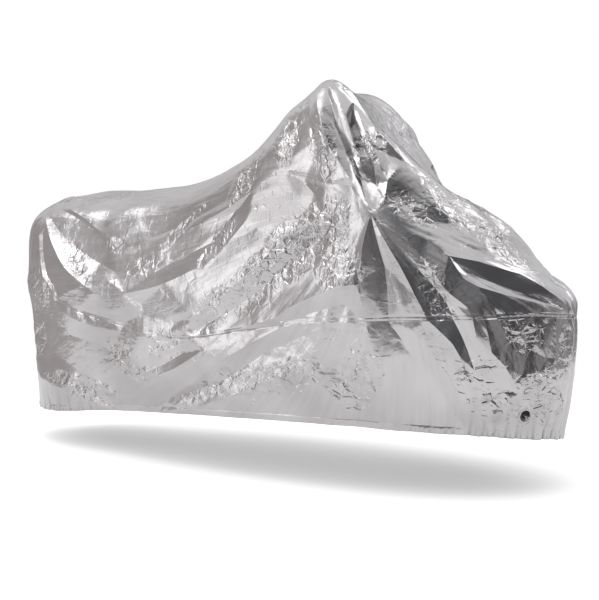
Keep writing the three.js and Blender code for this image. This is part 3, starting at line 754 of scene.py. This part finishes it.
def hem_lift(height):
    """The hem stands 0.8 mm proud up to HEM_DEPTH, where a line is sunk by 0.5 mm."""
    tube = 0.0008 * np.clip(1 - (height / HEM_DEPTH) ** 4, 0, None)
    return tube - 0.0005 * np.exp(-(((height - HEM_DEPTH) / 0.0020) ** 2))


along, up, grid, normal, moved = ring_grid(SKIRT_COLUMNS, skirt_rows, False, 0.024, 0.248)
flip = (normal * (grid - [0, 0, grid[..., 2].mean()]))[..., :2].sum(-1) < 0
normal[flip] *= -1
points, normals = grid.reshape(-1, 3), normal.reshape(-1, 3)
hem_row, seam_row = len(hem_inside), len(skirt_rows) - 4
height = np.linalg.norm(grid - grid[hem_row], axis=-1).ravel()
below_seam = np.linalg.norm(grid - grid[seam_row], axis=-1).ravel()
steps = np.linalg.norm(np.diff(grid[hem_row], axis=0, append=grid[hem_row, :1]), axis=-1)
run = np.tile(np.concatenate([[0], np.cumsum(steps)[:-1]]), len(skirt_rows))
gathers, valley = gather_lift(run, along.ravel(), height)
lift, marks = main_folds(along, up, points)
lift += gathers + hem_lift(height) + pucker_lift(points, below_seam)
skirt_points = flat_at_seats(points + normals * lift[:, None])
skirt_points -= normals * np.repeat(inset, grid.shape[1])[:, None]
print("hem length", round(float(steps.sum()), 3), "m")

# %% The eyelet holes in the skirt
faces = band_faces(moved, lift, False)
for c, out, side, rise in SEATS.values():
    gap = skirt_points - c
    flat_gap = gap - (gap @ out)[:, None] * out
    radius = np.linalg.norm(flat_gap, axis=1)
    close = (np.linalg.norm(gap, axis=1) < 0.05) & (radius < EYELET_HOLE)
    faces = faces[~close[faces].all(1)]
    rim = close & (radius > 1e-6)
    skirt_points[rim] += flat_gap[rim] * (EYELET_HOLE / radius[rim] - 1)[:, None]
lower_skirt = mesh_object("lower_skirt_cloth", skirt_points, faces, valley=valley, **marks)

# %% [markdown]
# ## The eyelets
# Each is a moulded ring with a rounded outer flange, a barrel through the film and an inner flange.
# A turned shape needs only its outline, so one is carried round each seat's axis.

# %% Turned rings on the seats
def turned_ring(name, profile, place, segments=64):
    """A closed profile of (radius, height) points carried round the seat's outward direction."""
    c, out, side, rise = place
    angle = np.linspace(0, 2 * np.pi, segments, endpoint=False)
    radial = np.cos(angle)[:, None] * side + np.sin(angle)[:, None] * rise
    points = c + profile[None, :, 0:1] * radial[:, None, :] + profile[None, :, 1:2] * out
    n = len(profile)
    index = np.arange(segments * n).reshape(segments, n)
    ahead, beside = np.roll(index, -1, 0), np.roll(index, -1, 1)
    both = np.roll(ahead, -1, 1)
    faces = np.stack([index, beside, both, ahead], -1).reshape(-1, 4)
    return mesh_object(name, points.reshape(-1, 3), faces)


def rounded(corners, radius, steps=4):
    """Corners of a closed outline, each cut back by radius and rounded with a quadratic curve."""
    corners = np.array(corners)
    before, after = np.roll(corners, 1, 0), np.roll(corners, -1, 0)
    out = []
    for p, a, b in zip(corners, before, after):
        r = min(radius, 0.45 * np.linalg.norm(a - p), 0.45 * np.linalg.norm(b - p))
        start, end = p + unit(a - p) * r, p + unit(b - p) * r
        t = np.linspace(0, 1, steps)[:, None]
        out.append((1 - t) ** 2 * start + 2 * t * (1 - t) * p + t**2 * end)
    return np.vstack(out)


ring_profile = rounded([(EYELET_BORE, 0.00155), (EYELET_RIM, 0.00155), (EYELET_RIM, 0.00035),
                        (0.019, 0.00035), (0.019, -0.00335), (EYELET_RIM, -0.00335),
                        (EYELET_RIM, -0.00455), (EYELET_BORE, -0.00455)], 0.0006)
rings = {name: turned_ring(name + "_ring", ring_profile, place) for name, place in SEATS.items()}

# %% [markdown]
# ## Materials
# The film's metal is thin and a little dull, so smooth faces look like satin, and each small crease
# shows. A node group makes the fine crinkle: three-dimensional cells, each a flat face tilted its
# own way, that fade out at the cells' edges. It is stronger where the film is crushed. A picture of
# foil would need unwrapping, and would show its joints.

# %% Helpers for node trees
def feed(tree, node, inputs):
    """Sets a node's inputs, by name or number, to constants or links them to nodes' outputs."""
    for key, value in inputs.items():
        if isinstance(value, bpy.types.NodeSocket):
            tree.links.new(value, node.inputs[key])
        else:
            node.inputs[key].default_value = value


def add_node(tree, kind, inputs, **settings):
    """A shader node with its settings and its inputs."""
    node = tree.nodes.new("ShaderNode" + kind)
    for label, value in settings.items():
        setattr(node, label, value)
    feed(tree, node, inputs)
    return node


def math_node(tree, operation, *values):
    """The output of a Math node with sockets or numbers as its inputs."""
    return add_node(tree, "Math", dict(enumerate(values)), operation=operation).outputs[0]


def vector_node(tree, operation, *values):
    """The output of a Vector Math node, a number for a dot product or a length."""
    result = "Value" if operation in ("DOT_PRODUCT", "LENGTH") else "Vector"
    return add_node(tree, "VectorMath", dict(enumerate(values)), operation=operation).outputs[result]


def blend(tree, amount, first, second):
    """The colour that goes from first to second with the amount, by a Mix node."""
    inputs = {"Factor": amount, "A": first, "B": second}
    return add_node(tree, "Mix", inputs, data_type="RGBA").outputs["Result"]


def ramp(tree, amount, stops):
    """The colour that a ramp through rising stops of (place, colour) gives for the amount."""
    node = add_node(tree, "ValToRGB", {"Fac": amount})
    elements = node.color_ramp.elements
    elements.remove(elements[1])
    for place, colour in stops[1:]:
        elements.new(place).color = (*colour, 1)
    elements[0].position = stops[0][0]
    elements[0].color = (*stops[0][1], 1)
    return node.outputs["Color"]


def new_group(name, inputs, outputs):
    """An empty shader node group with inputs of (name, type, default) and outputs of (name, type),
    with the sockets to read and the node to feed inside it."""
    group = bpy.data.node_groups.new(name, "ShaderNodeTree")
    for label, kind, value in inputs:
        socket = group.interface.new_socket(label, in_out="INPUT", socket_type="NodeSocket" + kind)
        if value is not None:
            socket.default_value = value
    for label, kind in outputs:
        group.interface.new_socket(label, in_out="OUTPUT", socket_type="NodeSocket" + kind)
    return group, group.nodes.new("NodeGroupInput").outputs, group.nodes.new("NodeGroupOutput")


def new_material(name):
    """A material, its node tree and its Principled shader."""
    material = bpy.data.materials.new(name)
    material.use_nodes = True
    return material, material.node_tree, material.node_tree.nodes["Principled BSDF"]


# %% Node group: fine crinkle of the film
crinkle, crinkle_in, crinkle_out = new_group(
    "Film crinkle", [("Vector", "Vector", None), ("Pull", "Vector", None), ("Crushed", "Float", 0.0)],
    [("Height", "Float"), ("Tone", "Float")])


def cell_faces(scale, seed):
    """Height of flat faces: inside a cell, the dot product of the way from the cell's centre and
    a random direction, faded to nothing at the cell's edge. Gives metres if scale is per metre."""
    shift = (seed * 1.7, seed * 2.3, seed * 3.1)
    place = vector_node(crinkle, "ADD", crinkle_in["Vector"], shift)
    cells = add_node(crinkle, "TexVoronoi", {"Vector": place, "Scale": scale})
    edge = add_node(crinkle, "TexVoronoi", {"Vector": place, "Scale": scale}, feature="DISTANCE_TO_EDGE")
    away = vector_node(crinkle, "SUBTRACT", place, cells.outputs["Position"])
    aim = vector_node(crinkle, "SUBTRACT", cells.outputs["Color"], (0.5, 0.5, 0.5))
    tilt = vector_node(crinkle, "DOT_PRODUCT", away, aim)
    fade = add_node(crinkle, "MapRange", {"Value": edge.outputs["Distance"], "From Max": 0.16},
                    interpolation_type="SMOOTHSTEP")
    return math_node(crinkle, "MULTIPLY", tilt, fade.outputs["Result"])


CRINKLE_CELLS = [(30.0, 0.32), (75.0, 0.17), (170.0, 0.13)]     # cells per metre, share of their height
faces_height = 0.0
for seed, (scale, share) in enumerate(CRINKLE_CELLS, 1):
    faces_height = math_node(crinkle, "MULTIPLY_ADD", cell_faces(scale, seed), share, faces_height)
amount = math_node(crinkle, "MULTIPLY_ADD", crinkle_in["Crushed"], 0.90, 0.10)
faces_height = math_node(crinkle, "MULTIPLY", faces_height, amount)

# %% Streaks and clouds in the same group
# long, faint streaks along the lines of pull: noise stretched along the first number of Pull
narrow = vector_node(crinkle, "MULTIPLY", crinkle_in["Pull"], (7.0, 44.0, 9.0))
streak = add_node(crinkle, "TexNoise", {"Vector": narrow, "Scale": 1.0, "Detail": 3.0, "Roughness": 0.55})
from_point = add_node(crinkle, "SeparateXYZ", {0: crinkle_in["Pull"]}).outputs["X"]
streak_height = math_node(crinkle, "MULTIPLY", streak.outputs["Fac"], from_point)
both_heights = math_node(crinkle, "MULTIPLY_ADD", streak_height, 0.0012, faces_height)
cloud = add_node(crinkle, "TexNoise", {"Vector": crinkle_in["Vector"], "Scale": 3.2, "Detail": 3.0})
cloud_tone = math_node(crinkle, "MULTIPLY", cloud.outputs["Fac"], 0.82)
tone = math_node(crinkle, "MULTIPLY_ADD", streak.outputs["Fac"], 0.18, cloud_tone)
feed(crinkle, crinkle_out, {"Height": both_heights, "Tone": tone})
print("crinkle group nodes:", len(crinkle.nodes))

# %% [markdown]
# The film's silver goes slightly lighter and darker with the group's Tone. The valleys of the hem's
# ruffles are darkened as painted shade, and the film's back is painted a dull dark grey, near black,
# as painted shade for the dark inside of the cover that the eyelet's hole shows.

# %% Silver film
film, tree, bsdf = new_material("Silver film")
crushed_here = add_node(tree, "Attribute", {}, attribute_name="crushed").outputs["Fac"]
pull_here = add_node(tree, "Attribute", {}, attribute_name="pull").outputs["Vector"]
valley_here = add_node(tree, "Attribute", {}, attribute_name="valley").outputs["Fac"]
where = add_node(tree, "TexCoord", {}).outputs["Object"]
group = add_node(tree, "Group", {"Vector": where, "Pull": pull_here, "Crushed": crushed_here},
                 node_tree=crinkle)
bump = add_node(tree, "Bump", {"Height": group.outputs["Height"], "Distance": 1.0, "Strength": 0.9})
tint = ramp(tree, group.outputs["Tone"], [(0.40, (0.56, 0.54, 0.545)), (0.60, (0.70, 0.685, 0.695))])
# painted shade: in the hem ruffles' valleys the film's colour goes towards a near-black grey
painted_ruffle_shade = math_node(tree, "MULTIPLY", valley_here, 0.95)
front_colour = blend(tree, painted_ruffle_shade, tint, (0.14, 0.135, 0.135, 1))
# painted shade: the film's back is near black, for the dark inside of the cover
back_seen = add_node(tree, "NewGeometry", {}).outputs["Backfacing"]
both_colours = blend(tree, back_seen, front_colour, (0.05, 0.05, 0.055, 1))
rough = add_node(tree, "MapRange", {"Value": crushed_here, "To Min": 0.19, "To Max": 0.14})
feed(tree, bsdf, {"Metallic": 1.0, "Base Color": both_colours, "Roughness": rough.outputs["Result"],
                  "Normal": bump.outputs["Normal"]})
for piece in (upper_film, lower_skirt):
    piece.data.materials.append(film)

# %% Eyelet plastic
plastic, tree, bsdf = new_material("Pale eyelet plastic")
where = add_node(tree, "TexCoord", {}).outputs["Object"]
speck = add_node(tree, "TexNoise", {"Vector": where, "Scale": 420.0}).outputs["Fac"]
shade = ramp(tree, speck, [(0.0, (0.78, 0.78, 0.80)), (1.0, (0.90, 0.90, 0.91))])
bump = add_node(tree, "Bump", {"Height": speck, "Distance": 0.0001})
feed(tree, bsdf, {"Roughness": 0.38, "Base Color": shade, "Normal": bump.outputs["Normal"]})
for ring in rings.values():
    ring.data.materials.append(plastic)

# %% [markdown]
# ## Ties to the CAD model
# Each piece rides on the one body and stands for its CAD node. The film isn't simulated, so
# its sheets are only declared, as draped and as gathered.

# %% Ride and replace
pieces = {"upper_film": upper_film, "lower_skirt": lower_skirt, **rings}
for node, piece in pieces.items():
    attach(piece, "root")
    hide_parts(node)

# %% [markdown]
# ## Studio
# A pale floor and a soft room, because a silver film shows its folds by what they mirror, and lamps
# alone would leave most of it black. The room is bright overhead and pale at eye height, with walls
# that are dim beyond the tail and dark at the front right, and with white boxes, most of them high up.

# %% Floor
FLOOR_X, FLOOR_Y = (-2.5, 2.2), (-3.1, 2.2)         # a paper sheet round the cover
# the floor's painted glow is weaker inside this oval, which paints the shadow under the cover darker
PAINTED_SHADOW_X, PAINTED_SHADOW_Y = 1.05, 0.36                     # half axes of the oval in which the shadow lies
corners = [(FLOOR_X[i], FLOOR_Y[j], -SUPPORT_HEIGHT) for i, j in ((0, 0), (1, 0), (1, 1), (0, 1))]
floor_mesh = bpy.data.meshes.new("floor")
floor_mesh.from_pydata(corners, [], [(0, 1, 2, 3)])
floor = bpy.data.objects.new("floor", floor_mesh)
bpy.context.scene.collection.objects.link(floor)
paper, tree, bsdf = new_material("Pale paper")
# painted glow: seen by the camera the floor glows up to the backdrop's white, and only the shadow
# shows; the glow is weaker inside the oval under the cover, which paints a darker shadow there
where = add_node(tree, "TexCoord", {}).outputs["Object"]
oval = vector_node(tree, "MULTIPLY", where, (1 / PAINTED_SHADOW_X, 1 / PAINTED_SHADOW_Y, 0))
out_way = vector_node(tree, "LENGTH", oval)
painted_glow_amount = add_node(tree, "MapRange", {"Value": out_way, "From Min": 0.6, "From Max": 1.5,
                                     "To Min": 0.44, "To Max": 0.60}, interpolation_type="SMOOTHSTEP")
seen = add_node(tree, "LightPath", {}).outputs["Is Camera Ray"]
painted_glow = math_node(tree, "MULTIPLY", seen, painted_glow_amount.outputs["Result"])
feed(tree, bsdf, {"Base Color": (0.86, 0.86, 0.86, 1), "Roughness": 0.9, "Emission Color": (1, 1, 1, 1),
                  "Emission Strength": painted_glow})
floor_mesh.materials.append(paper)

# %% Node group: a round patch of light or dark in the room
patch, patch_in, patch_out = new_group(
    "Room patch", [("Direction", "Vector", None), ("Centre", "Vector", (0, 0, 1)),
                   ("Inner", "Float", 0.9), ("Outer", "Float", 0.7)], [("Amount", "Float")])
centred = vector_node(patch, "NORMALIZE", patch_in["Centre"])
close = vector_node(patch, "DOT_PRODUCT", patch_in["Direction"], centred)
soft = add_node(patch, "MapRange", {"Value": close, "From Min": patch_in["Outer"],
                                    "From Max": patch_in["Inner"]}, interpolation_type="SMOOTHSTEP")
feed(patch, patch_out, {"Amount": soft.outputs["Result"]})

# %% Room light
world = bpy.data.worlds.new("Studio room")
bpy.context.scene.world = world
world.use_nodes = True
tree = world.node_tree
where = add_node(tree, "TexCoord", {}).outputs["Generated"]
upright = add_node(tree, "SeparateXYZ", {0: where}).outputs["Z"]
# height of the direction, -1 straight down to 1 straight up, and the room's brightness there
HEIGHTS = [(-0.70, 0.60), (-0.30, 0.52), (-0.12, 0.50), (0.02, 0.72), (0.20, 0.82), (0.32, 0.56),
           (0.50, 0.50), (0.65, 0.62), (0.85, 0.70), (0.99, 0.80)]
room = ramp(tree, math_node(tree, "MULTIPLY_ADD", upright, 0.5, 0.5),
            [((height + 1) / 2, (light, light, light)) for height, light in HEIGHTS])
# where each patch of the room is seen from the cover: degrees round from the right side (-Y) towards
# the front (+X), degrees up, inner and outer radius in degrees, red, green and blue
ROOM_PATCHES = table("""
-95 0 25 55 0.44 0.415 0.41
170 20 30 60 0.72 0.72 0.73
152 -4 6 24 0.16 0.16 0.165
-158 4 5 20 0.24 0.235 0.235
176 42 6 14 2 2 2
-115 34 12 30 0.74 0.73 0.73
8 2 12 34 0.26 0.255 0.255
62 4 12 60 0.09 0.09 0.095
112 2 14 28 0.32 0.31 0.31
40 46 5 17 0.16 0.16 0.165
-42 38 9 16 2.8 2.8 2.8
-38 22 5 12 1.5 1.5 1.5
-43 4 4 11 1.35 1.34 1.34
-39 -4 4 10 1.6 1.59 1.59
-75 52 6 14 2 2 2
18 62 6 14 1.9 1.9 1.9
120 38 8 16 1.9 1.9 1.9
0 86 5 13 1.5 1.5 1.5
""")
for turn, rise, inner, outer, *colour in ROOM_PATCHES:
    turn, rise = math.radians(turn), math.radians(rise)
    centre = (math.sin(turn) * math.cos(rise), -math.cos(turn) * math.cos(rise), math.sin(rise))
    inputs = {"Direction": where, "Centre": centre, "Inner": math.cos(math.radians(inner)),
              "Outer": math.cos(math.radians(outer))}
    spot = add_node(tree, "Group", inputs, node_tree=patch)
    room = blend(tree, spot.outputs["Amount"], room, (*colour, 1))
# the camera itself sees plain white behind the cover
background = tree.nodes["Background"]
feed(tree, background, {"Color": room})
backdrop = add_node(tree, "Background", {"Color": (1, 1, 1, 1)})
seen = add_node(tree, "LightPath", {}).outputs["Is Camera Ray"]
mixed = add_node(tree, "MixShader", {0: seen, 1: background.outputs[0], 2: backdrop.outputs[0]})
feed(tree, tree.nodes["World Output"], {"Surface": mixed.outputs[0]})
print("patches in the room:", len(ROOM_PATCHES))


# %% Soft box
def soft_box(name, place, aim, width, height, power):
    """A rectangular area light at place, turned to face aim."""
    light = bpy.data.lights.new(name, "AREA")
    light.shape = "RECTANGLE"
    light.size, light.size_y, light.energy = width, height, power
    lamp = bpy.data.objects.new(name, light)
    lamp.location = place
    way = np.array(aim, float) - np.array(place, float)
    lamp.rotation_mode = "XYZ"
    lamp.rotation_euler = (math.atan2(math.hypot(way[0], way[1]), -way[2]), 0, math.atan2(-way[0], way[1]))
    bpy.context.scene.collection.objects.link(lamp)
    return lamp


top_box = soft_box("Top box", (-0.3, -0.6, 2.6), (0, 0, -0.3), 3.6, 2.4, 40)
top_box.visible_glossy = False          # it lights the floor, and the film doesn't mirror it

# %% [markdown]
# ## Camera
# It stands at the front right, lower than the cover's top, and looks slightly down. Its long lens
# from about four metres keeps the seam and the hem nearly level.

# %% Camera
CAMERA_PLACE = (2.1524, -3.5422, 0.8772 - SUPPORT_HEIGHT)
CAMERA_TURN, CAMERA_DOWN = 30, 4.5634       # degrees
camera = bpy.data.objects.new("Camera", bpy.data.cameras.new("Camera"))
camera.location = CAMERA_PLACE
camera.rotation_euler = (math.radians(90 - CAMERA_DOWN), 0, math.radians(CAMERA_TURN))
camera.data.lens = 71.99
camera.data.sensor_width = 36
bpy.context.scene.collection.objects.link(camera)
bpy.context.scene.camera = camera
bpy.context.scene.view_settings.view_transform = "Standard"
